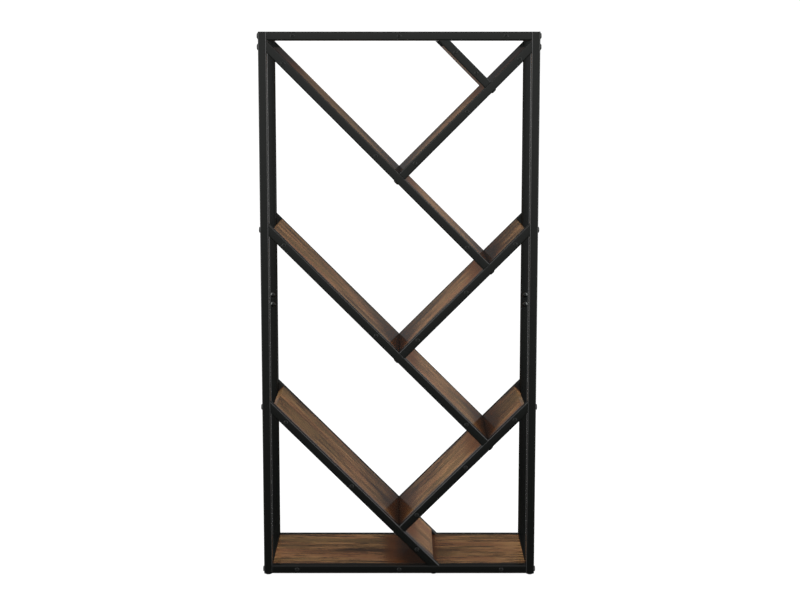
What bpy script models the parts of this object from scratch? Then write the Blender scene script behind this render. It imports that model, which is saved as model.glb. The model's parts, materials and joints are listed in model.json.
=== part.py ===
"""Tree bookshelf: an open frame of square steel tube whose slanted shelves lean on each other.

Metres, +Z up. The front faces -Y, and the origin lies on the floor under the middle of the frame.
"""
import math

import bmesh
import bpy
from mathutils import Matrix, Vector

# Overall frame, without the feet
WIDTH = 0.600
DEPTH = 0.262
FRAME_HEIGHT = 1.190
TIERS = 3

# Square tube of the frame
TUBE = 0.018
TUBE_WALL = 0.0012
TUBE_CORNER = 0.002
CORNER_SEGMENTS = 3

# How far the rails' outer faces lie behind those of the uprights
RAIL_SETBACK = 0.0008

# Boards, level with the upper faces of their rails
BOARD_THICKNESS = 0.018
BOARD_EDGE = 0.0006

# Clear distance between the top rail and the first pair of slanted shelves, at the uprights
TOP_DROP = 0.0012

# Splice in each upright: an inner sleeve with one bolt above and one below the joint
SPLICE_HEIGHT = 0.580
SPLICE_BOLT_PITCH = 0.022
SLEEVE_BEYOND_BOLT = 0.022
SLEEVE_WALL = 0.0015

# Button-head bolt with a hexagon socket
BOLT_HEAD_DIAMETER = 0.013
BOLT_HEAD_HEIGHT = 0.0028
BOLT_CROWN_DIAMETER = 0.006
BOLT_SHANK_DIAMETER = 0.006
BOLT_SHANK_LENGTH = 0.009
SOCKET_ACROSS_FLATS = 0.004
SOCKET_DEPTH = 0.0016
ROUND_STEPS = 16

# Levelling foot with a stud, and the plug in the upright that takes it
FOOT_DIAMETER = 0.0156
FOOT_HEIGHT = 0.003
FOOT_SOLE_DIAMETER = 0.011
FOOT_RIM = 0.001
STUD_DIAMETER = 0.006
STUD_LENGTH = 0.024
PLUG_LENGTH = 0.022

# Clearance between pieces that touch, and of the pieces that slide into a tube
GAP = 0.0003
SLIP = 0.0002

# Worked out from the sizes above
CLEAR_WIDTH = WIDTH - 2 * TUBE
CLEAR_DEPTH = DEPTH - 2 * TUBE
TUBE_BORE = TUBE - 2 * TUBE_WALL
TIER_PITCH = (FRAME_HEIGHT - TUBE) / TIERS
UPRIGHT_X = (WIDTH - TUBE) / 2
UPRIGHT_Y = (DEPTH - TUBE) / 2
RAIL_Y = UPRIGHT_Y - RAIL_SETBACK
BOARD_WIDTH = 2 * RAIL_Y - TUBE - 2 * GAP
ROOT_TWO = math.sqrt(2)
QUARTER_TURN = math.pi / 2
EIGHTH_TURN = math.pi / 4

SIDES = {"left": -1, "right": 1}
ROWS = {"front": -1, "rear": 1}

# Each slanted shelf: its fan, its tier, what its upper end meets and what its lower end rests on.
# The shelves of the left fan fall to the right, and those of the right fan fall to the left.
SHELVES = (
    ("short_shelf", "left", 0, "top", "shelf"),
    ("upper_long_shelf", "left", 1, "upright", "shelf"),
    ("upper_right_shelf", "right", 1, "upright", "shelf"),
    ("middle_long_shelf", "left", 2, "upright", "shelf"),
    ("middle_right_shelf", "right", 2, "upright", "shelf"),
    ("lower_long_shelf", "left", 3, "upright", "bottom"),
    ("lower_right_shelf", "right", 3, "upright", "shelf"),
)


def clear_scene():
    """Removes whatever the scene holds."""
    for item in list(bpy.data.objects):
        bpy.data.objects.remove(item, do_unlink=True)


def new_collection(name):
    """Adds a collection to the scene."""
    collection = bpy.data.collections.new(name)
    bpy.context.scene.collection.children.link(collection)
    return collection


def surface(name, colour, roughness, metallic):
    """Makes a plain material."""
    material = bpy.data.materials.new(name)
    material.use_nodes = True
    shader = material.node_tree.nodes["Principled BSDF"]
    shader.inputs["Base Color"].default_value = (*colour, 1.0)
    shader.inputs["Roughness"].default_value = roughness
    shader.inputs["Metallic"].default_value = metallic
    return material


class Shop:
    """Holds the collections, the materials and the empty that carries the frame."""

    def __init__(self):
        self.parts = new_collection("tree_bookshelf")
        self.cutters = new_collection("cutters")
        self.steel = surface("black_powder_coat", (0.020, 0.021, 0.020), 0.45, 0.0)
        self.laminate = surface("rustic_brown_laminate", (0.135, 0.075, 0.040), 0.55, 0.0)
        self.fastener = surface("black_zinc_steel", (0.020, 0.020, 0.020), 0.40, 0.8)
        self.plastic = surface("black_nylon", (0.012, 0.012, 0.012), 0.60, 0.0)
        self.frame = self.empty("frame_datum", (0.0, 0.0, FOOT_HEIGHT))
        self.fans = {
            "left": self.empty("left_fan", (0.0, 0.0, 0.0), parent=self.frame),
            "right": self.empty("right_fan", (0.0, 0.0, 0.0), turn=math.pi, parent=self.frame),
        }

    def empty(self, name, location, turn=0.0, parent=None):
        """Adds an empty, turned about the vertical."""
        item = bpy.data.objects.new(name, None)
        item.location = location
        item.rotation_euler = (0.0, 0.0, turn)
        item.parent = parent
        self.parts.objects.link(item)
        return item

    def part(self, name, mesh, material, location, rotation=(0.0, 0.0, 0.0), parent=None):
        """Adds one named piece of the bookshelf."""
        if not mesh.materials:
            mesh.materials.append(material)
        item = bpy.data.objects.new(name, mesh)
        item.location = location
        item.rotation_euler = rotation
        item.parent = parent or self.frame
        self.parts.objects.link(item)
        return item

    def cutter(self, name, mesh, location, rotation=(0.0, 0.0, 0.0), parent=None):
        """Adds a piece that only cuts others."""
        item = bpy.data.objects.new(name, mesh)
        item.location = location
        item.rotation_euler = rotation
        item.parent = parent
        item.hide_render = True
        item.display_type = "WIRE"
        self.cutters.objects.link(item)
        return item


def cut(item, cutter):
    """Takes the cutter's shape out of a piece."""
    modifier = item.modifiers.new(cutter.name, "BOOLEAN")
    modifier.operation = "DIFFERENCE"
    modifier.object = cutter


def finish_mesh(bm, name):
    """Turns a working mesh into a finished one, with its faces pointing out."""
    bmesh.ops.recalc_face_normals(bm, faces=bm.faces[:])
    mesh = bpy.data.meshes.new(name)
    bm.to_mesh(mesh)
    bm.free()
    return mesh


def square_shell(bm, length, side, corner, leans):
    """Adds a square bar along +X with rounded long edges, its ends sheared by a lean per unit of Z."""
    before = set(bm.faces)
    made = bmesh.ops.create_cube(bm, size=1.0)["verts"]
    for vert in made:
        at_end = vert.co.x > 0
        vert.co = Vector(((vert.co.x + 0.5) * length, vert.co.y * side, vert.co.z * side))
        vert.co.x += leans[at_end] * vert.co.z
    middle = length / 2
    around = {edge for vert in made for edge in vert.link_edges}
    long_edges = [e for e in around if (e.verts[0].co.x > middle) != (e.verts[1].co.x > middle)]
    bmesh.ops.bevel(
        bm, geom=long_edges, offset=corner, offset_type="OFFSET", segments=CORNER_SEGMENTS,
        profile=0.5, affect="EDGES",
    )
    return [face for face in bm.faces if face not in before]


def tube_mesh(name, length, side=TUBE, wall=TUBE_WALL, corner=TUBE_CORNER, leans=(0.0, 0.0), lid=False):
    """Square tube along +X from the origin; a lid closes its far end with a plate as thick as the wall."""
    bm = bmesh.new()
    square_shell(bm, length, side, corner, leans)
    inner_corner = max(corner - wall, wall / 4)
    lining = square_shell(bm, length - wall * lid, side - 2 * wall, inner_corner, leans)
    bmesh.ops.reverse_faces(bm, faces=lining)
    ends = [face for face in bm.faces if len(face.verts) > 4]
    near = [face for face in ends if face.calc_center_median().x < length / 2]
    far = [face for face in ends if face not in near]
    for mouth in (near,) if lid else (near, far):
        rim = [edge for face in mouth for edge in face.edges]
        bmesh.ops.delete(bm, geom=mouth, context="FACES_ONLY")
        bmesh.ops.bridge_loops(bm, edges=rim)
    return finish_mesh(bm, name)


def block_mesh(name, length, width, height):
    """Box along +X from the origin, centred in Y and Z."""
    bm = bmesh.new()
    bmesh.ops.create_cube(bm, size=1.0)
    bmesh.ops.translate(bm, verts=bm.verts[:], vec=(0.5, 0.0, 0.0))
    bmesh.ops.scale(bm, verts=bm.verts[:], vec=(length, width, height))
    return finish_mesh(bm, name)


def rod_mesh(name, diameter, length, centres=((0.0, 0.0),), segments=ROUND_STEPS):
    """Round or six-sided rods along Z, standing at the given centres and centred on their length."""
    bm = bmesh.new()
    for x, y in centres:
        bmesh.ops.create_cone(
            bm, cap_ends=True, segments=segments, radius1=diameter / 2, radius2=diameter / 2,
            depth=length, matrix=Matrix.Translation((x, y, 0.0)),
        )
    return finish_mesh(bm, name)


def turned_piece(name, profile):
    """Working object that turns a profile of (radius, height) points, top to bottom, about the Z axis."""
    mesh = bpy.data.meshes.new(name)
    edges = [(i, i + 1) for i in range(len(profile) - 1)]
    mesh.from_pydata([(radius, 0.0, height) for radius, height in profile], edges, [])
    item = bpy.data.objects.new(name, mesh)
    bpy.context.scene.collection.objects.link(item)
    turn = item.modifiers.new("turn", "SCREW")
    turn.axis = "Z"
    turn.steps = ROUND_STEPS
    turn.render_steps = ROUND_STEPS
    turn.use_merge_vertices = True
    turn.merge_threshold = 0.00001
    return item


def baked_mesh(item, name):
    """Gives the finished mesh of a working object and removes that object."""
    seen = item.evaluated_get(bpy.context.evaluated_depsgraph_get())
    mesh = bpy.data.meshes.new_from_object(seen)
    mesh.name = name
    mesh.shade_smooth()
    mesh.set_sharp_from_angle(angle=EIGHTH_TURN)
    bpy.data.objects.remove(item, do_unlink=True)
    return mesh


def add_uprights(shop):
    """Corner uprights, each a lower and an upper half joined by a sleeve and two bolts."""
    stand = (0.0, -QUARTER_TURN, 0.0)
    lower_length = SPLICE_HEIGHT - GAP / 2
    upper_length = FRAME_HEIGHT - SPLICE_HEIGHT - GAP / 2
    sleeve_side = TUBE_BORE - 2 * SLIP
    sleeve_length = SPLICE_BOLT_PITCH + 2 * SLEEVE_BEYOND_BOLT
    sleeve_corner = max(TUBE_CORNER - TUBE_WALL, SLIP)
    bolt = bolt_mesh(shop)
    hole_length = 2 * BOLT_SHANK_LENGTH
    half_pitch = SPLICE_BOLT_PITCH / 2
    for row, y_sign in ROWS.items():
        for side, x_sign in SIDES.items():
            x, y = x_sign * UPRIGHT_X, y_sign * UPRIGHT_Y
            corner = f"{row}_{side}"
            lower = shop.part(
                f"upright_{corner}_lower", tube_mesh("lower_upright", lower_length), shop.steel, (x, y, 0.0), stand)
            upper = shop.part(
                f"upright_{corner}_upper", tube_mesh("upper_upright", upper_length, lid=True), shop.steel,
                (x, y, SPLICE_HEIGHT + GAP / 2), stand)
            sleeve = shop.part(
                f"splice_sleeve_{corner}",
                tube_mesh("sleeve", sleeve_length, sleeve_side, SLEEVE_WALL, sleeve_corner), shop.steel,
                (x, y, SPLICE_HEIGHT - sleeve_length / 2), stand)
            # The bolts sit on the face that looks at the other upright of the same side
            inward = (y_sign * QUARTER_TURN, 0.0, 0.0)
            seat_y = y - y_sign * (TUBE / 2 + GAP)
            holes = shop.cutter(
                f"splice_holes_{corner}",
                rod_mesh("splice_holes", BOLT_SHANK_DIAMETER + 2 * GAP, hole_length,
                         ((0.0, -half_pitch), (0.0, half_pitch))),
                (x, seat_y, SPLICE_HEIGHT), inward, shop.frame)
            for piece in (lower, upper, sleeve):
                cut(piece, holes)
            for level, z_sign in (("lower", -1), ("upper", 1)):
                shop.part(
                    f"splice_bolt_{corner}_{level}", bolt, shop.fastener,
                    (x, seat_y, SPLICE_HEIGHT + z_sign * half_pitch), inward)


def bolt_mesh(shop):
    """Button-head bolt: the underside of its head is at the origin and its shank runs down -Z."""
    head_radius = BOLT_HEAD_DIAMETER / 2
    crown_radius = BOLT_CROWN_DIAMETER / 2
    shank_radius = BOLT_SHANK_DIAMETER / 2
    rim = BOLT_HEAD_HEIGHT / 4
    profile = [(0.0, BOLT_HEAD_HEIGHT)]
    for i in range(4):
        angle = QUARTER_TURN * i / 3
        radius = crown_radius + (head_radius - crown_radius) * math.sin(angle)
        height = rim + (BOLT_HEAD_HEIGHT - rim) * math.cos(angle)
        profile.append((radius, height))
    profile.append((head_radius, 0.0))
    profile.append((shank_radius, 0.0))
    profile.append((shank_radius, -BOLT_SHANK_LENGTH))
    profile.append((0.0, -BOLT_SHANK_LENGTH))
    item = turned_piece("splice_bolt", profile)
    across_corners = SOCKET_ACROSS_FLATS / math.cos(math.pi / 6)
    socket = shop.cutter(
        "bolt_socket", rod_mesh("bolt_socket", across_corners, 2 * SOCKET_DEPTH, segments=6),
        (0.0, 0.0, BOLT_HEAD_HEIGHT))
    cut(item, socket)
    return baked_mesh(item, "splice_bolt")


def add_feet(shop):
    """Levelling feet whose studs slide in plugs at the lower ends of the uprights."""
    foot = foot_mesh()
    plug_side = TUBE_BORE - 2 * SLIP
    bore = rod_mesh("stud_bore", STUD_DIAMETER + 2 * GAP, 3 * PLUG_LENGTH)
    for row, y_sign in ROWS.items():
        for side, x_sign in SIDES.items():
            x, y = x_sign * UPRIGHT_X, y_sign * UPRIGHT_Y
            corner = f"{row}_{side}"
            plug = shop.part(
                f"foot_plug_{corner}", block_mesh("foot_plug", PLUG_LENGTH, plug_side, plug_side), shop.plastic,
                (x, y, 0.0), (0.0, -QUARTER_TURN, 0.0))
            round_edges(plug, max(TUBE_CORNER - TUBE_WALL, SLIP), 2)
            cut(plug, shop.cutter(f"stud_bore_{corner}", bore, (x, y, PLUG_LENGTH / 2), parent=shop.frame))
            shop.part(f"levelling_foot_{corner}", foot, shop.plastic, (x, y, -FOOT_HEIGHT))


def foot_mesh():
    """Domed foot standing on the origin, with its stud upwards."""
    foot_radius = FOOT_DIAMETER / 2
    sole_radius = FOOT_SOLE_DIAMETER / 2
    stud_radius = STUD_DIAMETER / 2
    seat = FOOT_HEIGHT - GAP
    dome = seat - FOOT_RIM
    profile = [(0.0, FOOT_HEIGHT + STUD_LENGTH), (stud_radius, FOOT_HEIGHT + STUD_LENGTH)]
    profile.append((stud_radius, seat))
    profile.append((foot_radius, seat))
    for i in range(4):
        angle = QUARTER_TURN * i / 3
        radius = sole_radius + (foot_radius - sole_radius) * math.cos(angle)
        profile.append((radius, dome * (1 - math.sin(angle))))
    profile.append((0.0, 0.0))
    return baked_mesh(turned_piece("levelling_foot", profile), "levelling_foot")


def round_edges(item, width, segments):
    """Rounds every edge of a piece."""
    modifier = item.modifiers.new("edges", "BEVEL")
    modifier.width = width
    modifier.segments = segments
    modifier.limit_method = "ANGLE"


def add_level_rails(shop):
    """Front and rear rails between the uprights, and side bars between front and rear, top and bottom."""
    rail_length = CLEAR_WIDTH - 2 * GAP
    bar_length = CLEAR_DEPTH - 2 * GAP
    for level, z in (("bottom", TUBE / 2), ("top", FRAME_HEIGHT - TUBE / 2)):
        for row, y_sign in ROWS.items():
            shop.part(
                f"rail_{level}_{row}", tube_mesh("level_rail", rail_length), shop.steel,
                (-rail_length / 2, y_sign * RAIL_Y, z))
        for side, x_sign in SIDES.items():
            shop.part(
                f"side_bar_{level}_{side}", tube_mesh("side_bar", bar_length), shop.steel,
                (x_sign * UPRIGHT_X, -bar_length / 2, z), (0.0, 0.0, QUARTER_TURN))


def add_board(shop, name, length, location, rotation=(0.0, 0.0, 0.0), parent=None):
    """Board that fills the space between a front and a rear rail."""
    mesh = block_mesh(name, length, BOARD_WIDTH, BOARD_THICKNESS)
    board = shop.part(name, mesh, shop.laminate, location, rotation, parent)
    round_edges(board, BOARD_EDGE, 1)


def add_level_boards(shop):
    """Bottom and top boards, flush with the upper faces of the level rails."""
    length = CLEAR_WIDTH - 2 * GAP
    for level, top in (("bottom", TUBE), ("top", FRAME_HEIGHT)):
        add_board(shop, f"{level}_board", length, (-length / 2, 0.0, top - BOARD_THICKNESS / 2))


def crown(tier):
    """Height where the upper faces of a tier's two shelves cross the middle of the frame."""
    return FRAME_HEIGHT - TUBE - TOP_DROP - (tier - 1) * TIER_PITCH - CLEAR_WIDTH / 2


def upper_stop(shelf, ceiling):
    """Where a shelf's upper face starts, measured down the slope from its crown, and that end's lean."""
    _, _, tier, start, _ = shelf
    if start == "top":
        return (crown(tier) - ceiling) * ROOT_TWO, 1.0
    return -CLEAR_WIDTH / 2 * ROOT_TWO, -1.0


def lower_stop(shelf):
    """Where a shelf's upper face ends, measured down the slope from its crown, and that end's lean."""
    _, fan, tier, _, rest = shelf
    if rest == "bottom":
        return (crown(tier) - TUBE) * ROOT_TWO, 1.0
    crossed = tier + 1 if fan == "left" else tier
    return (crown(tier) - crown(crossed)) / ROOT_TWO, 0.0


def clearance(lean):
    """Length along the slope that leaves one gap, square to a leaning end."""
    return GAP * math.hypot(1.0, lean)


def on_slope(tier, along, above):
    """Point of a fan's middle plane, from its place down the slope and above the shelf's upper face."""
    return ((along + above) / ROOT_TWO, crown(tier) + (above - along) / ROOT_TWO)


def add_shelf(shop, shelf):
    """Slanted shelf: a board between a front and a rear rail that are cut to what they meet."""
    name, fan, tier, _, _ = shelf
    slope = (0.0, EIGHTH_TURN, 0.0)
    parent = shop.fans[fan]
    end, end_lean = lower_stop(shelf)

    start, start_lean = upper_stop(shelf, FRAME_HEIGHT - TUBE)
    rail_start = start - start_lean * TUBE / 2 + clearance(start_lean)
    rail_end = end - end_lean * TUBE / 2 - clearance(end_lean)
    x, z = on_slope(tier, rail_start, -TUBE / 2)
    facing = 1 if fan == "left" else -1
    for row, y_sign in ROWS.items():
        mesh = tube_mesh("shelf_rail", rail_end - rail_start, leans=(start_lean, end_lean))
        shop.part(f"{name}_{row}_rail", mesh, shop.steel, (x, facing * y_sign * RAIL_Y, z), slope, parent)

    start, start_lean = upper_stop(shelf, FRAME_HEIGHT - BOARD_THICKNESS)
    board_start = start + max(0.0, -start_lean) * BOARD_THICKNESS + clearance(start_lean)
    board_end = end - max(0.0, end_lean) * BOARD_THICKNESS - clearance(end_lean)
    x, z = on_slope(tier, board_start, -BOARD_THICKNESS / 2)
    add_board(shop, f"{name}_board", board_end - board_start, (x, 0.0, z), slope, parent)


def main():
    """Builds the whole bookshelf."""
    clear_scene()
    shop = Shop()
    add_uprights(shop)
    add_feet(shop)
    add_level_rails(shop)
    add_level_boards(shop)
    for shelf in SHELVES:
        add_shelf(shop, shelf)


main()
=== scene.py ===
"""Dresses the tree bookshelf: coated tube, wood-print boards, bolts, screws, feet and a white studio.

Metres, +Z up, front towards -Y. Left and right are as seen from the front.
"""

import json
import math

import bmesh
import bpy
from bpy.props import FloatProperty, FloatVectorProperty, IntProperty, PointerProperty
from bpy.types import Operator, Panel, PropertyGroup
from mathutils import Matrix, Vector


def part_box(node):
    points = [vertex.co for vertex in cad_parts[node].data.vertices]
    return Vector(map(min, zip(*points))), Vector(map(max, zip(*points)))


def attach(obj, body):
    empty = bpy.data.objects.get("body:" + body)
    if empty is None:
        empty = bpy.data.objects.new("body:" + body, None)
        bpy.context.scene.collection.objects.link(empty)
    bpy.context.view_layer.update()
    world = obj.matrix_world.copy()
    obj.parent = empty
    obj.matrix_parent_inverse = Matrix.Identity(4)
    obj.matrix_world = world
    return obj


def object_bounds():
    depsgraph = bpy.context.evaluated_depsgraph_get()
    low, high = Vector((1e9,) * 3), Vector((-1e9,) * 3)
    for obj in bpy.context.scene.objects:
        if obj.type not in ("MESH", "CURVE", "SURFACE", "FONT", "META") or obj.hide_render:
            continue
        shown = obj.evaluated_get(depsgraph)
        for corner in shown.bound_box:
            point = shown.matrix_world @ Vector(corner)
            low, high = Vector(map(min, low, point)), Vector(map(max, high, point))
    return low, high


bl_info = {
    "name": "Tree bookshelf",
    "version": (1, 0, 0),
    "blender": (4, 5, 0),
    "location": "3D View > Sidebar > Bookshelf",
    "description": "Finishes, fasteners and studio for the tree bookshelf",
    "category": "Object",
}

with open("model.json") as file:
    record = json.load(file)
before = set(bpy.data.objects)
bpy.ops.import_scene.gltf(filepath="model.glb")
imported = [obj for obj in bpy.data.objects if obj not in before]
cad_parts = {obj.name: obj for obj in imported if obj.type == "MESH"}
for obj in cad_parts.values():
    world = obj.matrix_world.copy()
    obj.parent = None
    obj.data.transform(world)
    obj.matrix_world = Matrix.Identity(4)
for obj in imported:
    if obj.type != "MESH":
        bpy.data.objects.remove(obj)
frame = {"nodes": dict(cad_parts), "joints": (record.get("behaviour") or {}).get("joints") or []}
cad_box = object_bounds()

MM = 0.001
ROWS = ("front", "rear")
SIDES = ("left", "right")
FALLS_RIGHT = ("short_shelf", "upper_long_shelf", "middle_long_shelf", "lower_long_shelf")
FALLS_LEFT = ("upper_right_shelf", "middle_right_shelf", "lower_right_shelf")
LEVEL_BOARDS = ("bottom_board", "top_board")
SLOPE = math.radians(45)

# Where in the wood print's pattern the level boards and those that fall right and left were cut, in metres
LEVEL_CUT = 0.9
RIGHT_CUT = 0.9
LEFT_CUT = 2.7

# Marks of the wood print, each with its length along the grain and its width, in millimetres
FIGURE_MARK = (220, 30)
PATCH_MARK = (180, 48)
KNOT_MARK = (220, 60)
DASH_MARK = (55, 9)
# Grain lines under 1 mm are too fine to show, so they are drawn at about 2 mm, in clusters of this size
GRAIN_MARK = (80, 5)

# How far from other parts the painted shade in the wood's colour reaches into corners and gaps, in
# millimetres
PAINTED_SHADE_REACH = 80

# How strongly the phosphated steel shines when it is oiled and when it is left dry
OILED_SHEEN = 0.5
DRY_SHEEN = 0.22

# Edges sharper than these stay sharp, on the CAD nodes and on the fastener heads
NODE_CREASE = math.radians(35)
HEAD_CREASE = math.radians(40)

# A fastener head: its sides, its rings of faces and its rim's share of its height
HEAD_SIDES = 24
HEAD_RINGS = 6
RIM_SHARE = 0.25

# The tube's width, and on the slope half the length of a mitred end and half the rise of a square end
TUBE = (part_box("rail_bottom_front")[1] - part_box("rail_bottom_front")[0]).z
HALF_MITRE = TUBE / 2 / math.sin(SLOPE)
HALF_TUBE_RISE = TUBE / 2 * math.sin(SLOPE)

# Screws on each rail: how many, and how far the outer two stand from the rail's upper and lower end
SCREW_ROWS = {
    "short_shelf": (2, 0.035, 0.035),
    "upper_long_shelf": (3, 0.049, 0.059),
    "middle_long_shelf": (3, 0.047, 0.058),
    "lower_long_shelf": (3, 0.047, 0.052),
    "upper_right_shelf": (3, 0.036, 0.039),
    "middle_right_shelf": (3, 0.043, 0.048),
    "lower_right_shelf": (3, 0.039, 0.046),
}
LEVEL_SCREWS = 3
LEVEL_SCREW_INSET = 0.055

# The cove's paint and glow, which together make full white
COVE_PAINT = "606060"
COVE_GLOW = 0.97
# The bend's share of the cove's radius, and how many steps the bend and the sweep round have
COVE_BEND = 0.25
COVE_BEND_STEPS = 8
COVE_SWEEP_STEPS = 64

# Brightness of the soft light all round, against the sine of the height above the horizon
SKY = ((-0.25, 0.012), (-0.06, 0.045), (-0.01, 0.062), (0.03, 0.050), (0.08, 0.022), (0.30, 0.028),
       (0.50, 0.05), (0.80, 0.26))
# What the lit walls at both sides add to it
SIDE_GLOW = ((-0.40, 0.0), (-0.30, 0.22), (-0.18, 0.50), (0.0, 1.0), (0.10, 0.80), (0.30, 0.85),
             (0.55, 1.0), (0.75, 0.55))
# What the lit wall and floor in front of the shelf add to it
FRONT_GLOW = ((-0.32, 0.0), (-0.16, 0.075), (0.0, 0.275), (0.15, 0.33), (0.50, 0.20))

# Where the glows set in and are full, by how far a direction points to the rear and to a side
AHEAD = (-0.3, -0.8)
ASIDE = (0.5, 0.85)
NOT_BEHIND = (0.25, 0.0)

# Softboxes: where each stands, the setting of its brightness and the share of the height that it is aimed at
SOFTBOXES = {
    "left_softbox": ((-2.2, -2.2, 1.1), "left_box", 1.0),
    "right_softbox": ((2.2, -2.2, 1.1), "right_box", 1.0),
    "rear_left_softbox": ((-2.4, 2.0, 2.2), "rear_box", 0.5),
    "rear_right_softbox": ((2.4, 2.0, 2.2), "rear_box", 0.5),
}
SOFTBOX_SIZE = (1.6, 1.4)

# Width of the camera's sensor, in millimetres
SENSOR_WIDTH = 36


def linear(code):
    """Linear colour of an sRGB hex value."""
    shares = [int(code[i:i + 2], 16) / 255 for i in (0, 2, 4)]
    return tuple(s / 12.92 if s <= 0.04045 else ((s + 0.055) / 1.055) ** 2.4 for s in shares)


def opaque(colour):
    """A colour property as the four numbers that a colour socket takes."""
    return (*colour, 1.0)


def add_node(tree, kind, links=None, output=None, **settings):
    """Adds a node with its settings and its inputs' values or links, and gives one of its outputs."""
    node = tree.nodes.new(kind)
    for name, value in settings.items():
        setattr(node, name, value)
    for key, value in (links or {}).items():
        named = [s for s in node.inputs if s.enabled and s.name == key]
        socket = named[0] if named else node.inputs[key]
        if isinstance(value, bpy.types.NodeSocket):
            tree.links.new(value, socket)
        else:
            socket.default_value = value
    outputs = [s for s in node.outputs if s.enabled and output in (None, s.name)]
    return outputs[0] if outputs else None


class FastenerSizes(PropertyGroup):
    """Sizes of the bolt and screw heads"""
    bolt_diameter: FloatProperty(
        name="Bolt head diameter", description="Width of a domed bolt head",
        default=0.013, min=0.006, max=0.020, precision=4, unit="LENGTH")
    bolt_height: FloatProperty(
        name="Bolt head height", description="How far a domed bolt head stands proud of the tube",
        default=0.0028, min=0.001, max=0.006, precision=4, unit="LENGTH")
    bolt_crown: FloatProperty(
        name="Bolt crown diameter", description="Width of the flat on top of a bolt head",
        default=0.006, min=0.002, max=0.012, precision=4, unit="LENGTH")
    socket_width: FloatProperty(
        name="Socket width", description="Hex socket of a bolt, across its flats",
        default=0.004, min=0.002, max=0.006, precision=4, unit="LENGTH")
    socket_depth: FloatProperty(
        name="Socket depth", description="Depth of a bolt's hex socket",
        default=0.0016, min=0.0005, max=0.003, precision=4, unit="LENGTH")
    screw_diameter: FloatProperty(
        name="Screw head diameter", description="Width of a board screw's pan head",
        default=0.0095, min=0.004, max=0.014, precision=4, unit="LENGTH")
    screw_height: FloatProperty(
        name="Screw head height", description="How far a board screw's head stands proud of the rail",
        default=0.0014, min=0.0005, max=0.004, precision=4, unit="LENGTH")
    screw_crown: FloatProperty(
        name="Screw crown diameter", description="Width of the flat on top of a screw head",
        default=0.0060, min=0.002, max=0.010, precision=4, unit="LENGTH")
    recess_width: FloatProperty(
        name="Cross recess width", description="Length of each arm pair of the screw's cross recess",
        default=0.0046, min=0.001, max=0.008, precision=4, unit="LENGTH")
    recess_arm: FloatProperty(
        name="Cross recess arm", description="Width of one arm of the screw's cross recess",
        default=0.0011, min=0.0004, max=0.003, precision=4, unit="LENGTH")
    recess_depth: FloatProperty(
        name="Cross recess depth", description="Depth of the screw's cross recess",
        default=0.0011, min=0.0003, max=0.003, precision=4, unit="LENGTH")
    turn_seed: IntProperty(
        name="Turn seed", description="Seed for how far each head was turned when it was tightened",
        default=7)


class FinishColours(PropertyGroup):
    """Colours of the finishes"""
    coat: FloatVectorProperty(
        name="Powder coat", description="Black coat on the steel tube",
        default=linear("030403"), min=0, max=1, subtype="COLOR")
    zinc: FloatVectorProperty(
        name="Splice bolt zinc", description="Black zinc on the splice bolts",
        default=linear("4a4b4a"), min=0, max=1, subtype="COLOR")
    phosphate: FloatVectorProperty(
        name="Fastener phosphate", description="Dull black on the other bolts and the screws",
        default=linear("0e0f0e"), min=0, max=1, subtype="COLOR")
    nylon: FloatVectorProperty(
        name="Foot nylon", description="Moulded feet and plugs",
        default=linear("171717"), min=0, max=1, subtype="COLOR")
    wood_light: FloatVectorProperty(
        name="Light wood", description="Lightest figure of the wood print",
        default=linear("8b6946"), min=0, max=1, subtype="COLOR")
    wood_middle: FloatVectorProperty(
        name="Middle wood", description="Main tone of the wood print",
        default=linear("6f5135"), min=0, max=1, subtype="COLOR")
    wood_brown: FloatVectorProperty(
        name="Brown wood", description="Darker figure of the wood print",
        default=linear("573e27"), min=0, max=1, subtype="COLOR")
    wood_dark: FloatVectorProperty(
        name="Dark wood", description="Streaks, dashes and knots of the wood print",
        default=linear("2c1f16"), min=0, max=1, subtype="COLOR")
    wood_red: FloatVectorProperty(
        name="Red wood", description="Reddish patches of the wood print",
        default=linear("734d34"), min=0, max=1, subtype="COLOR")
    wood_olive: FloatVectorProperty(
        name="Olive wood", description="Grey-green patches of the wood print",
        default=linear("695234"), min=0, max=1, subtype="COLOR")
    edge_band: FloatVectorProperty(
        name="Edge band", description="Band on the long edges of the boards",
        default=linear("1a130d"), min=0, max=1, subtype="COLOR")
    # Painted shade, not print: the wood's colour turns to these two where other parts stand close
    painted_corner_shade: FloatVectorProperty(
        name="Painted corner shade", description="Amber painted shade on the wood deep in a corner",
        default=linear("4a2402"), min=0, max=1, subtype="COLOR")
    painted_crease_shade: FloatVectorProperty(
        name="Painted crease shade", description="Dark painted shade on the wood where two boards meet",
        default=linear("150802"), min=0, max=1, subtype="COLOR")


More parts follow.
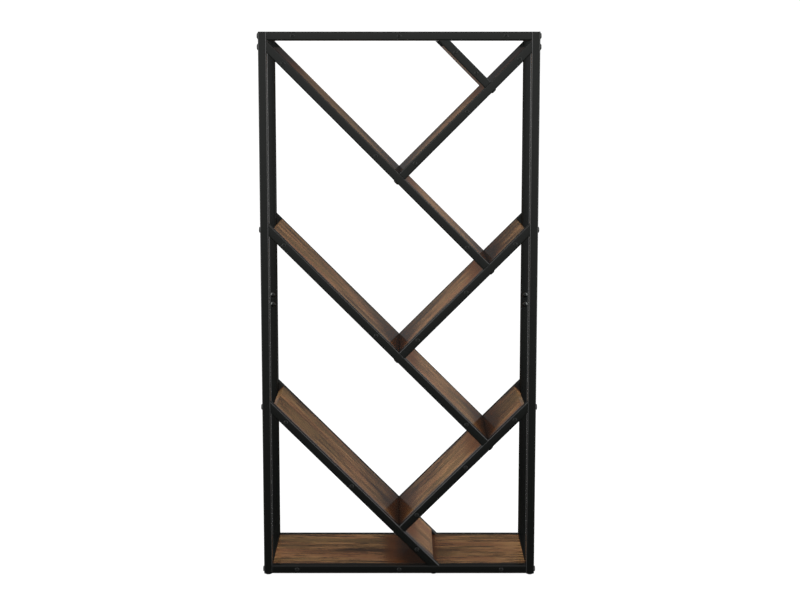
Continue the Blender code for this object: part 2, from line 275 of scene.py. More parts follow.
class StudioSetup(PropertyGroup):
    """Camera, cove and light"""
    camera_distance: FloatProperty(
        name="Camera distance", description="From the shelf's front plane to the camera, measured level",
        default=3.58532, min=1.0, max=10.0, precision=4, unit="LENGTH")
    camera_height: FloatProperty(
        name="Camera height", description="Height of the camera above the foot of the shelf",
        default=1.1515, min=0.1, max=5.0, precision=4, unit="LENGTH")
    camera_pitch: FloatProperty(
        name="Camera pitch", description="How far the camera looks down",
        default=0.14774, min=0, max=1.5, precision=4, unit="ROTATION")
    camera_lens: FloatProperty(
        name="Focal length", description="Lens on a sensor 36 mm wide",
        default=75.19, min=20, max=200, unit="CAMERA")
    camera_shift: FloatProperty(
        name="Sideways shift", description="Shift of the lens, as a share of the picture's width",
        default=0.0011, min=-0.1, max=0.1, precision=4)
    cove_radius: FloatProperty(
        name="Cove radius", description="Radius of the white cove's floor",
        default=12.0, min=6.0, max=40.0, unit="LENGTH")
    soft_light: FloatProperty(
        name="Soft light", description="Brightness of the soft light all round",
        default=2.0, min=0, max=5)
    left_box: FloatProperty(
        name="Left softbox", description="Brightness of the softbox at the left of the camera",
        default=55.0, min=0, max=200)
    right_box: FloatProperty(
        name="Right softbox", description="Brightness of the softbox at the right of the camera",
        default=50.0, min=0, max=200)
    rear_box: FloatProperty(
        name="Rear softboxes", description="Brightness of the softbox at each rear side",
        default=16.0, min=0, max=60)
    grid: FloatProperty(
        name="Softbox grid", description="Opening angle of the grid on each softbox",
        default=math.radians(44), min=math.radians(10), max=math.radians(170), unit="ROTATION")
    front_glow: FloatProperty(
        name="Front glow", description="Strength of the glow behind the camera",
        default=1.0, min=0, max=10)
    side_glow: FloatProperty(
        name="Side glow", description="Strength of the glow at both sides",
        default=2.6, min=0, max=10)


def new_material(name):
    """A new node material, with its tree and its Principled shader."""
    material = bpy.data.materials.new(name)
    material.use_nodes = True
    return material, material.node_tree, material.node_tree.nodes["Principled BSDF"]


def mottled(tree, colour, pattern, low, high):
    """A colour that a pattern makes darker and lighter, between these shares of it."""
    shade = add_node(tree, "ShaderNodeMapRange", {"Value": pattern, "To Min": low, "To Max": high})
    return add_node(
        tree, "ShaderNodeMix", {"Factor": 1.0, "A": opaque(colour), "B": shade},
        data_type="RGBA", blend_type="MULTIPLY")


def powder_coat(colours):
    """Black polyester powder, sprayed dry and baked on steel tube.

    The melted grains give the eye a satin black with a fine orange peel, and soft pale lines on corners.
    """
    material, tree, shader = new_material("Powder-coated steel, baked satin black")
    place = add_node(tree, "ShaderNodeTexCoord", output="Object")
    # A real orange peel of about 0.8 mm is too fine to show, so it is drawn at 2.4 mm
    peel_size = 2.4 * MM
    peel = add_node(tree, "ShaderNodeTexNoise", {"Vector": place, "Scale": 1 / peel_size, "Detail": 2.0})
    cloud_size = 90 * MM
    cloud = add_node(tree, "ShaderNodeTexNoise", {"Vector": place, "Scale": 1 / cloud_size, "Detail": 3.0})
    coat = mottled(tree, colours.coat, cloud, 0.85, 1.15)
    gloss = add_node(tree, "ShaderNodeMapRange", {"Value": peel, "To Min": 0.20, "To Max": 0.24})
    bump = add_node(tree, "ShaderNodeBump", {"Height": peel, "Strength": 0.03, "Distance": 0.2 * MM})
    tree.links.new(coat, shader.inputs["Base Color"])
    tree.links.new(gloss, shader.inputs["Roughness"])
    tree.links.new(bump, shader.inputs["Normal"])
    return material


def wood_print(colours, name, slope, cut):
    """Particle board faced with printed melamine, its grain run along a board that lies at the given slope.

    The cut says how far into the printed pattern the boards lie.

    The print gives the eye long brown figure with darker streaks, short dashes and a knot here and there,
    and the pressed surface gives it a sheen that is broken up by shallow pores.
    Painted shade turns the colour amber, then near black, where other parts stand close, as in the corners.
    """
    material, tree, shader = new_material(f"Melamine board, rustic wood print, {name}")
    place = add_node(tree, "ShaderNodeTexCoord", output="Object")
    along = add_node(
        tree, "ShaderNodeMapping", {"Vector": place, "Location": (0, 0, cut), "Rotation": (0, slope, 0)})

    def stretched(mark):
        """Coordinates in which a mark of this length and width is one unit."""
        length, width = mark
        scale = (1 / (length * MM), 1 / (width * MM), 1 / (width * MM))
        return add_node(tree, "ShaderNodeMapping", {"Vector": along, "Scale": scale})

    figure = add_node(
        tree, "ShaderNodeTexNoise",
        {"Vector": stretched(FIGURE_MARK), "Scale": 1.0, "Detail": 6.0, "Roughness": 0.72, "Distortion": 0.4})
    grain = add_node(
        tree, "ShaderNodeTexNoise",
        {"Vector": stretched(GRAIN_MARK), "Scale": 1.0, "Detail": 3.0, "Roughness": 0.65})
    dashes = add_node(
        tree, "ShaderNodeTexNoise", {"Vector": stretched(DASH_MARK), "Scale": 1.0, "Detail": 2.0})
    patches = add_node(
        tree, "ShaderNodeTexNoise", {"Vector": stretched(PATCH_MARK), "Scale": 1.0, "Detail": 1.0})
    knots = add_node(
        tree, "ShaderNodeTexVoronoi", {"Vector": stretched(KNOT_MARK), "Scale": 1.0}, output="Distance")
    # Ambient occlusion, used to paint shade into the wood's colour where other parts stand close
    painted_shade_nearness = add_node(tree, "ShaderNodeAmbientOcclusion", {"Distance": PAINTED_SHADE_REACH * MM}, output="AO")

    # The tones follow the figure, with some of the grain and of the patches mixed in
    lines = add_node(tree, "ShaderNodeMix", {"Factor": 0.35, "A": figure, "B": grain})
    tone = add_node(tree, "ShaderNodeMix", {"Factor": 0.15, "A": lines, "B": patches})
    wood = add_node(tree, "ShaderNodeValToRGB", {"Fac": tone}, output="Color")
    ramp = wood.node.color_ramp.elements
    ramp[0].position, ramp[0].color = 0.435, opaque(colours.wood_dark)
    ramp[1].position, ramp[1].color = 0.55, opaque(colours.wood_light)
    for spot, colour in ((0.469, colours.wood_brown), (0.503, colours.wood_middle)):
        ramp.new(spot).color = opaque(colour)

    # Laid over the tones in turn: a pattern, where in it the colour sets in and is full, and its strength;
    # the last two are painted shade
    layers = (
        (patches, 0.52, 0.66, 0.70, colours.wood_red),
        (patches, 0.48, 0.36, 0.65, colours.wood_olive),
        (dashes, 0.58, 0.70, 0.80, colours.wood_dark),
        (knots, 0.16, 0.05, 0.75, colours.wood_dark),
        # Painted shade: amber where other parts stand near, near black deeper in the corners
        (painted_shade_nearness, 0.92, 0.70, 0.86, colours.painted_corner_shade),
        (painted_shade_nearness, 0.62, 0.46, 0.85, colours.painted_crease_shade),
    )
    for pattern, faint, full, strength, colour in layers:
        share = add_node(
            tree, "ShaderNodeMapRange",
            {"Value": pattern, "From Min": faint, "From Max": full, "To Max": strength})
        wood = add_node(
            tree, "ShaderNodeMix", {"Factor": share, "A": wood, "B": opaque(colour)}, data_type="RGBA")

    # The long edges, which lie against the rails, carry a dark edge band
    facing = add_node(tree, "ShaderNodeNewGeometry", output="True Normal")
    sideways = add_node(tree, "ShaderNodeSeparateXYZ", {"Vector": facing}, output="Y")
    away_from_face = add_node(tree, "ShaderNodeMath", {0: sideways}, operation="ABSOLUTE")
    on_edge = add_node(tree, "ShaderNodeMath", {0: away_from_face, 1: 0.5}, operation="GREATER_THAN")
    banded = add_node(
        tree, "ShaderNodeMix", {"Factor": on_edge, "A": wood, "B": opaque(colours.edge_band)},
        data_type="RGBA")
    dullness = add_node(tree, "ShaderNodeMapRange", {"Value": grain, "To Min": 0.20, "To Max": 0.12})
    pores = add_node(tree, "ShaderNodeBump", {"Height": grain, "Strength": 0.2, "Distance": 0.3 * MM})
    tree.links.new(banded, shader.inputs["Base Color"])
    tree.links.new(dullness, shader.inputs["Roughness"])
    tree.links.new(pores, shader.inputs["Normal"])
    return material


def black_zinc(colours):
    """Steel bolts, cold-headed, plated with zinc and passivated black.

    The thin dark film over bright metal gives the eye a dark grey gleam on domes, with a fine uneven haze.
    """
    material, tree, shader = new_material("Zinc-plated steel, passivated black")
    place = add_node(tree, "ShaderNodeTexCoord", output="Object")
    haze_size = 3 * MM
    haze = add_node(tree, "ShaderNodeTexNoise", {"Vector": place, "Scale": 1 / haze_size, "Detail": 3.0})
    film = mottled(tree, colours.zinc, haze, 0.75, 1.25)
    gloss = add_node(tree, "ShaderNodeMapRange", {"Value": haze, "To Min": 0.14, "To Max": 0.24})
    tree.links.new(film, shader.inputs["Base Color"])
    tree.links.new(gloss, shader.inputs["Roughness"])
    shader.inputs["Metallic"].default_value = 1.0
    return material


def phosphated_steel(colours, finish, sheen):
    """Steel bolts and board screws, phosphated black, then oiled for a sheen or left dry.

    The fine crystals give the eye a dull near-black that hardly stands out from the coat around it.
    """
    name = f"Steel, phosphated black and {finish}"
    if name in bpy.data.materials:
        return bpy.data.materials[name]
    material, tree, shader = new_material(name)
    place = add_node(tree, "ShaderNodeTexCoord", output="Object")
    # Crystals of about 0.02 mm are too fine to show, so they are drawn at 0.8 mm
    crystal_size = 0.8 * MM
    crystals = add_node(
        tree, "ShaderNodeTexNoise", {"Vector": place, "Scale": 1 / crystal_size, "Detail": 2.0})
    black = mottled(tree, colours.phosphate, crystals, 0.8, 1.2)
    dullness = add_node(tree, "ShaderNodeMapRange", {"Value": crystals, "To Min": 0.38, "To Max": 0.50})
    tree.links.new(black, shader.inputs["Base Color"])
    tree.links.new(dullness, shader.inputs["Roughness"])
    shader.inputs["Specular IOR Level"].default_value = sheen
    return material


def moulded_nylon(colours):
    """Black nylon, moulded in a spark-eroded tool.

    The tool's fine grain gives the eye a dull black with soft, wide highlights.
    """
    material, tree, shader = new_material("Nylon, moulded dull black")
    place = add_node(tree, "ShaderNodeTexCoord", output="Object")
    # The tool's grain of about 0.1 mm is too fine to show, so it is drawn at 0.6 mm
    grit_size = 0.6 * MM
    grit = add_node(tree, "ShaderNodeTexNoise", {"Vector": place, "Scale": 1 / grit_size, "Detail": 2.0})
    black = mottled(tree, colours.nylon, grit, 0.8, 1.2)
    dullness = add_node(tree, "ShaderNodeMapRange", {"Value": grit, "To Min": 0.5, "To Max": 0.65})
    bump = add_node(tree, "ShaderNodeBump", {"Height": grit, "Strength": 0.2, "Distance": 0.1 * MM})
    tree.links.new(black, shader.inputs["Base Color"])
    tree.links.new(dullness, shader.inputs["Roughness"])
    tree.links.new(bump, shader.inputs["Normal"])
    shader.inputs["IOR"].default_value = 1.53
    return material


def new_geometry_tree(name, inputs):
    """A geometry tree with named inputs, and its input node."""
    tree = bpy.data.node_groups.new(name, "GeometryNodeTree")
    for label, kind in inputs.items():
        tree.interface.new_socket(label, in_out="INPUT", socket_type=kind)
    tree.interface.new_socket("Geometry", in_out="OUTPUT", socket_type="NodeSocketGeometry")
    return tree, tree.nodes.new("NodeGroupInput").outputs


def shade_smooth(tree, geometry, crease):
    """Shades geometry smooth, apart from the edges that are sharper than the crease."""
    smooth = add_node(tree, "GeometryNodeSetShadeSmooth", {"Geometry": geometry, "Shade Smooth": True})
    angle = add_node(tree, "GeometryNodeInputMeshEdgeAngle", output="Unsigned Angle")
    sharp = add_node(tree, "FunctionNodeCompare", {"A": angle, "B": crease}, operation="GREATER_THAN")
    return add_node(
        tree, "GeometryNodeSetShadeSmooth", {"Geometry": smooth, "Selection": sharp, "Shade Smooth": False},
        domain="EDGE")


def smooth_corners_tree():
    """Joins a node's loose triangles and shades its round corners smooth, for the eye alone."""
    name = "Smooth corners"
    if name in bpy.data.node_groups:
        return bpy.data.node_groups[name]
    tree, given = new_geometry_tree(name, {"Geometry": "NodeSocketGeometry"})
    joined = add_node(
        tree, "GeometryNodeMergeByDistance", {"Geometry": given["Geometry"], "Distance": 0.01 * MM})
    add_node(tree, "NodeGroupOutput", {"Geometry": shade_smooth(tree, joined, NODE_CREASE)})
    return tree


def finish_node(name, material):
    """Gives a CAD node its finish, with smooth round corners and flat faces kept flat."""
    node = frame["nodes"][name]
    if not node.material_slots:
        node.data.materials.append(material)
    for slot in node.material_slots:
        slot.material = material
    node.modifiers.new("Smooth corners", "NODES").node_group = smooth_corners_tree()
    weighted = node.modifiers.new("Flat faces", "WEIGHTED_NORMAL")
    weighted.keep_sharp = True


def domed_head_tree():
    """A turned head: a short straight rim, then a quarter ellipse up to a flat crown."""
    name = "Domed head"
    if name in bpy.data.node_groups:
        return bpy.data.node_groups[name]
    sizes = {label: "NodeSocketFloat" for label in ("Diameter", "Crown", "Height", "Rim")}
    tree, given = new_geometry_tree(name, sizes)
    blank = add_node(
        tree, "GeometryNodeMeshCone",
        {"Vertices": HEAD_SIDES, "Side Segments": HEAD_RINGS, "Radius Top": 1.0, "Radius Bottom": 1.0,
         "Depth": 1.0})
    spot = add_node(tree, "GeometryNodeInputPosition")
    level = add_node(tree, "ShaderNodeSeparateXYZ", {"Vector": spot}, output="Z")
    # The first ring of faces is the rim, and the others climb the dome
    climb = add_node(
        tree, "ShaderNodeMapRange",
        {"Value": level, "From Min": 1 / HEAD_RINGS, "From Max": 1.0, "To Max": math.pi / 2})
    across = add_node(tree, "ShaderNodeMath", {0: climb}, operation="COSINE")
    up = add_node(tree, "ShaderNodeMath", {0: climb}, operation="SINE")
    width = add_node(
        tree, "ShaderNodeMapRange", {"Value": across, "To Min": given["Crown"], "To Max": given["Diameter"]})
    radius = add_node(tree, "ShaderNodeMath", {0: width, 1: 0.5}, operation="MULTIPLY")
    dome = add_node(
        tree, "ShaderNodeMapRange", {"Value": up, "To Min": given["Rim"], "To Max": given["Height"]})
    seated = add_node(
        tree, "ShaderNodeMapRange", {"Value": level, "From Max": 1 / HEAD_RINGS, "To Max": dome})
    wide = add_node(tree, "ShaderNodeVectorMath", {0: spot, "Scale": radius}, operation="SCALE")
    flat = add_node(tree, "ShaderNodeVectorMath", {0: wide, 1: (1, 1, 0)}, operation="MULTIPLY")
    raised = add_node(tree, "ShaderNodeCombineXYZ", {"Z": seated})
    turned = add_node(tree, "ShaderNodeVectorMath", {0: flat, 1: raised}, operation="ADD")
    head = add_node(tree, "GeometryNodeSetPosition", {"Geometry": blank, "Position": turned})
    add_node(tree, "NodeGroupOutput", {"Geometry": head})
    return tree


def add_domed_head(tree, given):
    """Adds the turned head to a fastener's tree, with a rim that is a share of its height."""
    rim = add_node(tree, "ShaderNodeMath", {0: given["Height"], 1: RIM_SHARE}, operation="MULTIPLY")
    sizes = {label: given[label] for label in ("Diameter", "Crown", "Height")}
    return add_node(tree, "GeometryNodeGroup", {**sizes, "Rim": rim}, node_tree=domed_head_tree())


def set_heads_on_seats(tree, given, head):
    """Ends a fastener's tree: the head goes on every seat, faces its way and is turned about it at random."""
    creased = shade_smooth(tree, head, HEAD_CREASE)
    facing = add_node(tree, "GeometryNodeInputNamedAttribute", {"Name": "facing"}, data_type="FLOAT_VECTOR")
    upright = add_node(tree, "FunctionNodeAlignRotationToVector", {"Vector": facing}, axis="Z")
    turn = add_node(tree, "FunctionNodeRandomValue", {"Max": 2 * math.pi, "Seed": given["Seed"]})
    spin = add_node(tree, "FunctionNodeAxisAngleToRotation", {"Axis": (0, 0, 1), "Angle": turn})
    way = add_node(
        tree, "FunctionNodeRotateRotation", {"Rotation": upright, "Rotate By": spin}, rotation_space="LOCAL")
    heads = add_node(
        tree, "GeometryNodeInstanceOnPoints",
        {"Points": given["Geometry"], "Instance": creased, "Rotation": way})
    real = add_node(tree, "GeometryNodeRealizeInstances", {"Geometry": heads})
    finished = add_node(tree, "GeometryNodeSetMaterial", {"Geometry": real, "Material": given["Finish"]})
    add_node(tree, "NodeGroupOutput", {"Geometry": finished})


def fastener_inputs(recess_sizes):
    """The named inputs of a fastener's tree: its head, its recess, its finish and the seed of its turn."""
    lengths = ("Diameter", "Crown", "Height", *recess_sizes)
    inputs = {"Geometry": "NodeSocketGeometry", **{label: "NodeSocketFloat" for label in lengths}}
    return {**inputs, "Seed": "NodeSocketInt", "Finish": "NodeSocketMaterial"}


def socket_bolt_tree():
    """Domed bolt heads with a hex socket."""
    name = "Socket bolts"
    if name in bpy.data.node_groups:
        return bpy.data.node_groups[name]
    tree, given = new_geometry_tree(name, fastener_inputs(("Socket width", "Socket depth")))
    head = add_domed_head(tree, given)
    # A hexagon's corner radius, as a share of its width across the flats
    corner = 0.5 / math.cos(math.radians(30))
    radius = add_node(tree, "ShaderNodeMath", {0: given["Socket width"], 1: corner}, operation="MULTIPLY")
    # The key is cut in from the middle of its length, so it is twice as long as the socket is deep
    depth = add_node(tree, "ShaderNodeMath", {0: given["Socket depth"], 1: 2.0}, operation="MULTIPLY")
    key = add_node(tree, "GeometryNodeMeshCylinder", {"Vertices": 6, "Radius": radius, "Depth": depth})
    top = add_node(tree, "ShaderNodeCombineXYZ", {"Z": given["Height"]})
    raised = add_node(tree, "GeometryNodeTransform", {"Geometry": key, "Translation": top})
    cut = add_node(
        tree, "GeometryNodeMeshBoolean", {"Mesh 1": head, "Mesh 2": raised},
        operation="DIFFERENCE", solver="EXACT")
    set_heads_on_seats(tree, given, cut)
    return tree


def cross_screw_tree():
    """Pan screw heads with a cross recess."""
    tree, given = new_geometry_tree(
        "Cross screws", fastener_inputs(("Recess width", "Recess arm", "Recess depth")))
    head = add_domed_head(tree, given)
    # Each blade is cut in from the middle of its height, so it is twice as tall as the recess is deep
    depth = add_node(tree, "ShaderNodeMath", {0: given["Recess depth"], 1: 2.0}, operation="MULTIPLY")
    top = add_node(tree, "ShaderNodeCombineXYZ", {"Z": given["Height"]})
    cut = head
    for first, second in (("X", "Y"), ("Y", "X")):
        size = add_node(
            tree, "ShaderNodeCombineXYZ",
            {first: given["Recess width"], second: given["Recess arm"], "Z": depth})
        blade = add_node(tree, "GeometryNodeMeshCube", {"Size": size})
        raised = add_node(tree, "GeometryNodeTransform", {"Geometry": blade, "Translation": top})
        cut = add_node(
            tree, "GeometryNodeMeshBoolean", {"Mesh 1": cut, "Mesh 2": raised},
            operation="DIFFERENCE", solver="EXACT")
    set_heads_on_seats(tree, given, cut)
    return tree


def add_fasteners(name, tree, seats, inputs):
    """Makes one piece of like fasteners, from the place of each seat and the way that its head faces."""
    cloud = bpy.data.meshes.new(f"{name}_seats")
    cloud.from_pydata([place for place, _ in seats], [], [])
    facing = cloud.attributes.new("facing", "FLOAT_VECTOR", "POINT")
    facing.data.foreach_set("vector", [share for _, way in seats for share in way])
    piece = bpy.data.objects.new(name, cloud)
    bpy.context.scene.collection.objects.link(piece)
    heads = piece.modifiers.new("Heads", "NODES")
    heads.node_group = tree
    for label, value in inputs.items():
        heads[tree.interface.items_tree[label].identifier] = value
    evaluated = piece.evaluated_get(bpy.context.evaluated_depsgraph_get())
    mesh = bpy.data.meshes.new_from_object(evaluated)
    if not mesh.polygons:
        raise RuntimeError(f"{name} came out empty")
    piece.modifiers.remove(heads)
    piece.data = mesh
    mesh.name = name
    bpy.data.meshes.remove(cloud)
    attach(piece, "frame")


def bolt_inputs(scene):
    """What the socket bolts' tree takes from the scene's settings."""
    sizes = scene.bookshelf_fasteners
    return {
        "Diameter": sizes.bolt_diameter,
        "Crown": sizes.bolt_crown,
        "Height": sizes.bolt_height,
        "Socket width": sizes.socket_width,
        "Socket depth": sizes.socket_depth,
        "Seed": sizes.turn_seed,
        "Finish": phosphated_steel(scene.bookshelf_colours, "oiled", OILED_SHEEN),
    }


def middle(name):
    """Middle of a node's box."""
    low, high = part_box(name)
    return (low + high) / 2


def fall(shelf):
    """Which way a shelf falls along X: 1 to the right, -1 to the left."""
    return 1 if shelf in FALLS_RIGHT else -1


def upper_end(shelf, row):
    """Middle of a slanted rail's upper end, on the upright, or under the top rail for the short shelf."""
    name = f"{shelf}_{row}_rail"
    low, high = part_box(name)
    x = low.x if fall(shelf) > 0 else high.x
    if shelf == "short_shelf":
        return Vector((x + HALF_MITRE, middle(name).y, high.z))
    return Vector((x, middle(name).y, high.z - HALF_MITRE))


def lower_end(shelf, row):
    """Middle of a slanted rail's lower end, on the rail below it, or on the bottom rail for the lowest."""
    name = f"{shelf}_{row}_rail"
    low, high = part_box(name)
    x = high.x if fall(shelf) > 0 else low.x
    if shelf == "lower_long_shelf":
        return Vector((x - HALF_MITRE, middle(name).y, low.z))
    return Vector((x - fall(shelf) * HALF_TUBE_RISE, middle(name).y, low.z + HALF_TUBE_RISE))


def rail_face(name, row):
    """The Y of a rail's face that looks away from the board."""
    low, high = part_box(name)
    return low.y if row == "front" else high.y


def away(row):
    """The way that looks out of the shelf from a row of rails."""
    return Vector((0, -1 if row == "front" else 1, 0))


class BOOKSHELF_OT_coat_tubes(Operator):
    """Powder-coat the uprights, rails, side bars and splice sleeves"""
    bl_idname = "bookshelf.coat_tubes"
    bl_label = "Coat tubes"

    def execute(self, context):
        coat = powder_coat(context.scene.bookshelf_colours)
        for name in frame["nodes"]:
            tube = name.startswith(("upright_", "rail_", "side_bar_", "splice_sleeve_"))
            if tube or name.endswith("_rail"):
                finish_node(name, coat)
        return {"FINISHED"}


class BOOKSHELF_OT_print_boards(Operator):
    """Face the boards with the wood print, its grain along each board"""
    bl_idname = "bookshelf.print_boards"
    bl_label = "Print boards"

    def execute(self, context):
        colours = context.scene.bookshelf_colours
        level = wood_print(colours, "level", 0, LEVEL_CUT)
        right = wood_print(colours, "falling right", -SLOPE, RIGHT_CUT)
        left = wood_print(colours, "falling left", SLOPE, LEFT_CUT)
        for name in LEVEL_BOARDS:
            finish_node(name, level)
        for shelf in FALLS_RIGHT:
            finish_node(f"{shelf}_board", right)
        for shelf in FALLS_LEFT:
            finish_node(f"{shelf}_board", left)
        return {"FINISHED"}


class BOOKSHELF_OT_blacken_splice_bolts(Operator):
    """Finish the bolts that hold the uprights' halves on their sleeves"""
    bl_idname = "bookshelf.blacken_splice_bolts"
    bl_label = "Blacken splice bolts"

    def execute(self, context):
        steel = black_zinc(context.scene.bookshelf_colours)
        for name in frame["nodes"]:
            if name.startswith("splice_bolt_"):
                finish_node(name, steel)
        return {"FINISHED"}


class BOOKSHELF_OT_add_side_bolts(Operator):
    """Add the bolts on the uprights' outer faces, one for each rail that ends there"""
    bl_idname = "bookshelf.add_side_bolts"
    bl_label = "Add side bolts"

    def execute(self, context):
        seats = []
        for row in ROWS:
            levels = [middle(f"rail_bottom_{row}").z, middle(f"rail_top_{row}").z]
            levels += [upper_end(shelf, row).z for shelf in FALLS_LEFT]
            for side in SIDES:
                low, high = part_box(f"upright_{row}_{side}_lower")
                x, way = (low.x, -1) if side == "left" else (high.x, 1)
                seats += [(Vector((x, (low.y + high.y) / 2, z)), Vector((way, 0, 0))) for z in levels]
        add_fasteners("side_bolts", socket_bolt_tree(), seats, bolt_inputs(context.scene))
        return {"FINISHED"}


class BOOKSHELF_OT_add_joint_bolts(Operator):
    """Add the bolts under each rail that a slanted rail butts on"""
    bl_idname = "bookshelf.add_joint_bolts"
    bl_label = "Add joint bolts"

    def execute(self, context):
        seats = []
        for row in ROWS:
            for shelf in FALLS_RIGHT + FALLS_LEFT:
                end = lower_end(shelf, row)
                down = Vector((fall(shelf) * math.cos(SLOPE), 0, -math.sin(SLOPE)))
                if shelf == "lower_long_shelf":
                    down = Vector((0, 0, -1))
                seats.append((end + down * TUBE, down))
        add_fasteners("joint_bolts", socket_bolt_tree(), seats, bolt_inputs(context.scene))
        return {"FINISHED"}


class BOOKSHELF_OT_add_board_screws(Operator):
    """Add the screws that go through the rails into the boards' long edges"""
    bl_idname = "bookshelf.add_board_screws"
    bl_label = "Add board screws"

    def execute(self, context):
        seats = []
        for row in ROWS:
            for shelf, (count, upper_inset, lower_inset) in SCREW_ROWS.items():
                top, foot = upper_end(shelf, row), lower_end(shelf, row)
                run = (foot - top).normalized()
                first, last = top + run * upper_inset, foot - run * lower_inset
                seats += self.row_of_seats(f"{shelf}_{row}_rail", row, first, last, count)
            for level in ("bottom", "top"):
                name = f"rail_{level}_{row}"
                low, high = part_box(name)
                centre = middle(name)
                first = Vector((low.x + LEVEL_SCREW_INSET, centre.y, centre.z))
                last = Vector((high.x - LEVEL_SCREW_INSET, centre.y, centre.z))
                seats += self.row_of_seats(name, row, first, last, LEVEL_SCREWS)
        sizes = context.scene.bookshelf_fasteners
        inputs = {
            "Diameter": sizes.screw_diameter,
            "Crown": sizes.screw_crown,
            "Height": sizes.screw_height,
            "Recess width": sizes.recess_width,
            "Recess arm": sizes.recess_arm,
            "Recess depth": sizes.recess_depth,
            "Seed": sizes.turn_seed,
            "Finish": phosphated_steel(context.scene.bookshelf_colours, "left dry", DRY_SHEEN),
        }
        add_fasteners("board_screws", cross_screw_tree(), seats, inputs)
        return {"FINISHED"}

    def row_of_seats(self, rail, row, first, last, count):
        """Evenly spaced seats on a rail's outward face, from the first to the last."""
        seats = []
        for i in range(count):
            spot = first.lerp(last, i / (count - 1))
            seats.append((Vector((spot.x, rail_face(rail, row), spot.z)), away(row)))
        return seats


class BOOKSHELF_OT_mould_feet(Operator):
    """Finish the levelling feet and the plugs that they screw into"""
    bl_idname = "bookshelf.mould_feet"
    bl_label = "Mould feet"

    def execute(self, context):
        nylon = moulded_nylon(context.scene.bookshelf_colours)
        for name in frame["nodes"]:
            if name.startswith(("levelling_foot_", "foot_plug_")):
                finish_node(name, nylon)
        return {"FINISHED"}


def white_cove(setup):
    """A round white floor that curves up into a wall, seen by the camera and clear to the soft light."""
    bend = setup.cove_radius * COVE_BEND
    # The floor lies as far down as the feet screw out, so that it hides none of them
    floor = cad_box[0].z - max(joint["range_m"][1] for joint in frame["joints"])
    profile = [(0.0, 0.0), (setup.cove_radius - bend, 0.0)]
    for i in range(1, COVE_BEND_STEPS + 1):
        angle = math.pi / 2 * i / COVE_BEND_STEPS
        profile.append((setup.cove_radius - bend + bend * math.sin(angle), bend - bend * math.cos(angle)))
    profile.append((setup.cove_radius, setup.cove_radius))
    shape = bmesh.new()
    points = [shape.verts.new((x, 0, floor + z)) for x, z in profile]
    edges = [shape.edges.new(pair) for pair in zip(points, points[1:])]
    bmesh.ops.spin(
        shape, geom=points + edges, axis=(0, 0, 1), cent=(0, 0, 0), angle=2 * math.pi,
        steps=COVE_SWEEP_STEPS, use_merge=True)
    bmesh.ops.remove_doubles(shape, verts=shape.verts, dist=MM)
    bmesh.ops.recalc_face_normals(shape, faces=shape.faces)
    bmesh.ops.reverse_faces(shape, faces=shape.faces)
    mesh = bpy.data.meshes.new("studio_cove")
    shape.to_mesh(mesh)
    shape.free()
    cove = bpy.data.objects.new("studio_cove", mesh)
    bpy.context.scene.collection.objects.link(cove)
    for ray in ("visible_diffuse", "visible_glossy", "visible_transmission", "visible_shadow"):
        setattr(cove, ray, False)
    paint, _, shader = new_material("Matt white paint, rolled")
    # Lit evenly up to full white, the paint gives the eye no shadow and no edge
    shader.inputs["Base Color"].default_value = opaque(linear(COVE_PAINT))
    shader.inputs["Roughness"].default_value = 1.0
    shader.inputs["Specular IOR Level"].default_value = 0.0
    shader.inputs["Emission Color"].default_value = opaque(linear("ffffff"))
    shader.inputs["Emission Strength"].default_value = COVE_GLOW
    mesh.materials.append(paint)


def soft_sky(setup):
    """A world of soft light: dim at the horizon, with a glow in front of the shelf and one at each side."""
    world = bpy.data.worlds.new("Soft studio light")
    world.use_nodes = True
    tree = world.node_tree
    way = add_node(tree, "ShaderNodeTexCoord", output="Generated")
    height = add_node(tree, "ShaderNodeSeparateXYZ", {"Vector": way}, output="Z")
    across, depth = height.node.outputs["X"], height.node.outputs["Y"]
    level = add_node(tree, "ShaderNodeMapRange", {"Value": height, "From Min": -1.0})
    aside = add_node(tree, "ShaderNodeMath", {0: across}, operation="ABSOLUTE")
    masks = []
    for value, (faint, full) in ((depth, AHEAD), (aside, ASIDE), (depth, NOT_BEHIND)):
        masks.append(add_node(
            tree, "ShaderNodeMapRange", {"Value": value, "From Min": faint, "From Max": full}))
    ahead, to_side, not_behind = masks
    beside = add_node(tree, "ShaderNodeMath", {0: to_side, 1: not_behind}, operation="MULTIPLY")
    layers = (
        (SKY, 1.0, 1.0),
        (FRONT_GLOW, setup.front_glow, ahead),
        (SIDE_GLOW, setup.side_glow, beside),
    )
    light = opaque((0, 0, 0))
    for stops, strength, mask in layers:
        shade = add_node(tree, "ShaderNodeValToRGB", {"Fac": level}, output="Color")
        ramp = shade.node.color_ramp.elements
        ramp[0].position, ramp[1].position = stops[0][0] / 2 + 0.5, stops[-1][0] / 2 + 0.5
        for rise, _ in stops[1:-1]:
            ramp.new(rise / 2 + 0.5)
        for element, (_, share) in zip(ramp, stops):
            element.color = opaque((share, share, share))
        glow = add_node(tree, "ShaderNodeVectorMath", {0: shade, "Scale": strength}, operation="SCALE")
        light = add_node(
            tree, "ShaderNodeMix", {"Factor": mask, "A": light, "B": glow},
            data_type="RGBA", blend_type="ADD")
    background = tree.nodes["Background"]
    tree.links.new(light, background.inputs["Color"])
    background.inputs["Strength"].default_value = setup.soft_light
    bpy.context.scene.world = world


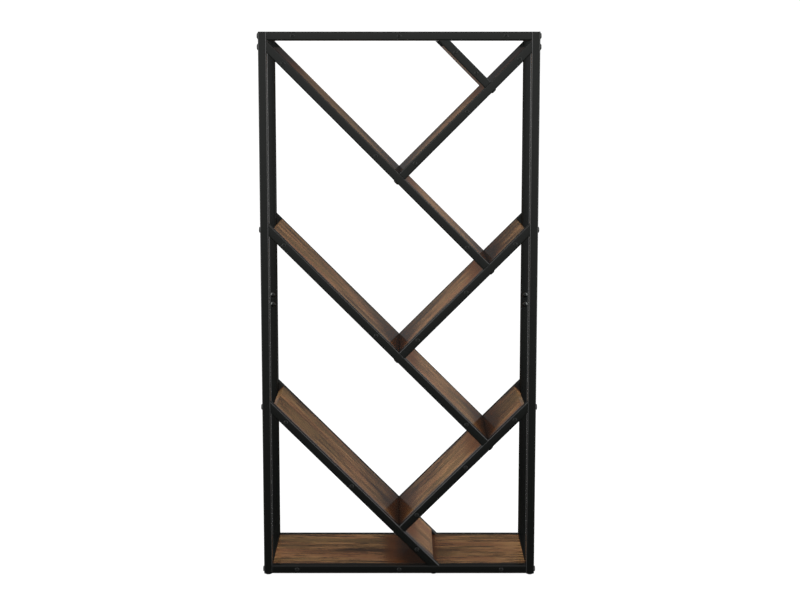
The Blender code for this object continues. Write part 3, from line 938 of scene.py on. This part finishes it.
def softbox(name, place, brightness, grid, target):
    """A flat soft light with a grid, aimed at this height of the shelf and not seen in reflections."""
    light = bpy.data.lights.new(name, "AREA")
    light.shape = "RECTANGLE"
    light.size, light.size_y = SOFTBOX_SIZE
    light.spread = grid
    # The grid gathers the light, so the energy is cut to keep the brightness that is seen straight on
    gathering = math.tan(grid / 2) / (math.tan(grid / 2) - grid / 2)
    light.energy = brightness * math.pi * light.size * light.size_y / gathering
    box = bpy.data.objects.new(name, light)
    box.location = place
    aim = Vector((0, (cad_box[0].y + cad_box[1].y) / 2, target)) - box.location
    box.rotation_euler = aim.to_track_quat("-Z", "Y").to_euler()
    box.visible_camera = False
    box.visible_glossy = False
    bpy.context.scene.collection.objects.link(box)


def softboxes(setup):
    """A softbox at each side of the camera and a weaker one at each rear side."""
    for name, (place, brightness, aim) in SOFTBOXES.items():
        softbox(name, place, getattr(setup, brightness), setup.grid, cad_box[1].z * aim)


def photograph_camera(setup):
    """The camera where the photograph was taken from, on the shelf's middle plane."""
    lens = bpy.data.cameras.new("camera")
    lens.sensor_width = SENSOR_WIDTH
    lens.lens = setup.camera_lens
    lens.shift_x = setup.camera_shift
    camera = bpy.data.objects.new("camera", lens)
    camera.location = (0, cad_box[0].y - setup.camera_distance, setup.camera_height)
    camera.rotation_euler = (math.pi / 2 - setup.camera_pitch, 0, 0)
    bpy.context.scene.collection.objects.link(camera)
    bpy.context.scene.camera = camera


class BOOKSHELF_OT_set_stage(Operator):
    """Set up the white cove, the soft light and the camera"""
    bl_idname = "bookshelf.set_stage"
    bl_label = "Set stage"

    def execute(self, context):
        setup = context.scene.bookshelf_studio
        white_cove(setup)
        soft_sky(setup)
        softboxes(setup)
        photograph_camera(setup)
        context.scene.view_settings.view_transform = "Standard"
        return {"FINISHED"}


STEPS = (
    BOOKSHELF_OT_set_stage,
    BOOKSHELF_OT_coat_tubes,
    BOOKSHELF_OT_print_boards,
    BOOKSHELF_OT_blacken_splice_bolts,
    BOOKSHELF_OT_add_side_bolts,
    BOOKSHELF_OT_add_joint_bolts,
    BOOKSHELF_OT_add_board_screws,
    BOOKSHELF_OT_mould_feet,
)


class BOOKSHELF_PT_dressing(Panel):
    """Lists the steps that dress the bookshelf"""
    bl_idname = "BOOKSHELF_PT_dressing"
    bl_label = "Tree bookshelf"
    bl_space_type = "VIEW_3D"
    bl_region_type = "UI"
    bl_category = "Bookshelf"

    def draw(self, context):
        for step in STEPS:
            self.layout.operator(step.bl_idname)


CLASSES = (FastenerSizes, FinishColours, StudioSetup, *STEPS, BOOKSHELF_PT_dressing)


def register():
    """Registers the classes and hangs their settings on the scene."""
    for cls in CLASSES:
        bpy.utils.register_class(cls)
    bpy.types.Scene.bookshelf_fasteners = PointerProperty(type=FastenerSizes)
    bpy.types.Scene.bookshelf_colours = PointerProperty(type=FinishColours)
    bpy.types.Scene.bookshelf_studio = PointerProperty(type=StudioSetup)


def unregister():
    """Takes away what register added."""
    del bpy.types.Scene.bookshelf_studio
    del bpy.types.Scene.bookshelf_colours
    del bpy.types.Scene.bookshelf_fasteners
    for cls in reversed(CLASSES):
        bpy.utils.unregister_class(cls)


def main():
    """Dresses the bookshelf step by step."""
    register()
    bpy.ops.bookshelf.set_stage()
    bpy.ops.bookshelf.coat_tubes()
    bpy.ops.bookshelf.print_boards()
    bpy.ops.bookshelf.blacken_splice_bolts()
    bpy.ops.bookshelf.add_side_bolts()
    bpy.ops.bookshelf.add_joint_bolts()
    bpy.ops.bookshelf.add_board_screws()
    bpy.ops.bookshelf.mould_feet()


if __name__ == "__main__":
    main()
